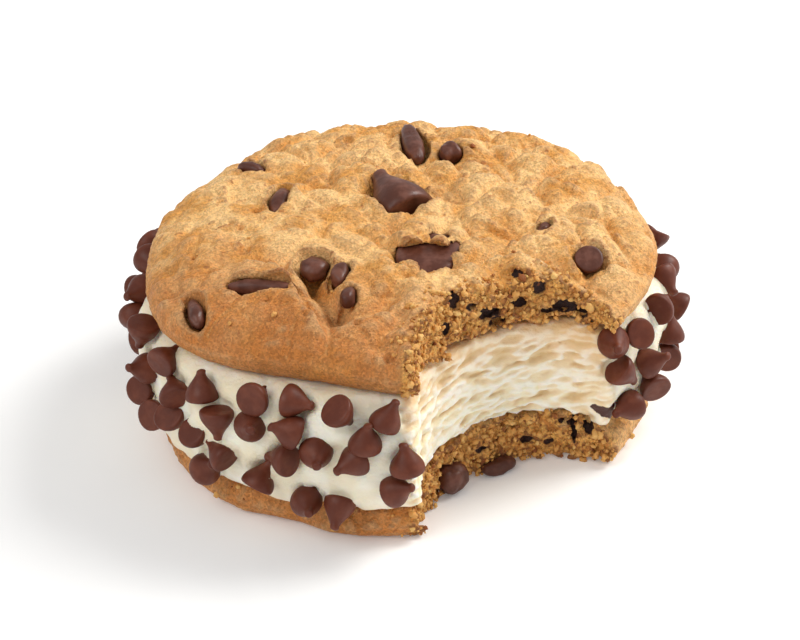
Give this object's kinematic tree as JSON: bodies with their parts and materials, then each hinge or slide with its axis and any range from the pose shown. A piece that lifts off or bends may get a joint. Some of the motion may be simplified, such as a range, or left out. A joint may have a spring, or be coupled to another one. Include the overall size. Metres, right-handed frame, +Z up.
{
  "type": "ice cream sandwich",
  "caption": "Round ice cream sandwich: vanilla ice cream between two chocolate chip cookies, small chocolate chips pressed round the side, one bite taken out.",
  "frame": {"origin": "on the surface it rests on, at the underside of the lower cookie, under the axis of the ice cream", "axes": "+Z up through the layers; the bite faces -Y and +X, that is the front right seen from the front, -Y"},
  "size_m": [0.0925, 0.0939, 0.0376],
  "materials": {
    "cookie": "dry, grainy golden crust with a browner edge; crumbly where bitten",
    "ice_cream": "smooth and soft on the side, streaked and frosty where bitten",
    "chocolate_chip": "satin milk chocolate",
    "baked_chocolate": "dark, softly glossy, sugar-dusted at its edges"
  },
  "bodies": {
    "root": {"top_cookie": "cookie", "bottom_cookie": "cookie", "ice_cream": "ice_cream", "side_chip_01": "chocolate_chip", "side_chip_02": "chocolate_chip", "side_chip_03": "chocolate_chip", "side_chip_04": "chocolate_chip", "side_chip_05": "chocolate_chip", "side_chip_06": "chocolate_chip", "side_chip_07": "chocolate_chip", "side_chip_08": "chocolate_chip", "side_chip_09": "chocolate_chip", "side_chip_10": "chocolate_chip", "side_chip_11": "chocolate_chip", "side_chip_12": "chocolate_chip", "side_chip_13": "chocolate_chip", "side_chip_14": "chocolate_chip", "side_chip_15": "chocolate_chip", "side_chip_16": "chocolate_chip", "side_chip_17": "chocolate_chip", "side_chip_18": "chocolate_chip", "side_chip_19": "chocolate_chip", "side_chip_20": "chocolate_chip", "side_chip_21": "chocolate_chip", "side_chip_22": "chocolate_chip", "side_chip_23": "chocolate_chip", "side_chip_24": "chocolate_chip", "side_chip_25": "chocolate_chip", "side_chip_26": "chocolate_chip", "side_chip_27": "chocolate_chip", "side_chip_28": "chocolate_chip", "side_chip_29": "chocolate_chip", "side_chip_30": "chocolate_chip", "side_chip_31": "chocolate_chip", "side_chip_32": "chocolate_chip", "side_chip_33": "chocolate_chip", "side_chip_34": "chocolate_chip", "side_chip_35": "chocolate_chip", "side_chip_36": "chocolate_chip", "side_chip_37": "chocolate_chip", "side_chip_38": "chocolate_chip", "side_chip_39": "chocolate_chip", "side_chip_40": "chocolate_chip", "side_chip_41": "chocolate_chip", "baked_chip_01": "baked_chocolate", "baked_chip_02": "baked_chocolate", "baked_chip_03": "baked_chocolate", "baked_chip_04": "baked_chocolate", "baked_chip_05": "baked_chocolate", "baked_chip_06": "baked_chocolate", "baked_chip_07": "baked_chocolate", "baked_chip_08": "baked_chocolate", "baked_chip_09": "baked_chocolate", "baked_chip_10": "baked_chocolate", "baked_chip_11": "baked_chocolate", "baked_chip_12": "baked_chocolate", "baked_chip_13": "baked_chocolate", "baked_chip_14": "baked_chocolate", "baked_chip_15": "baked_chocolate"}
  },
  "joints": []
}
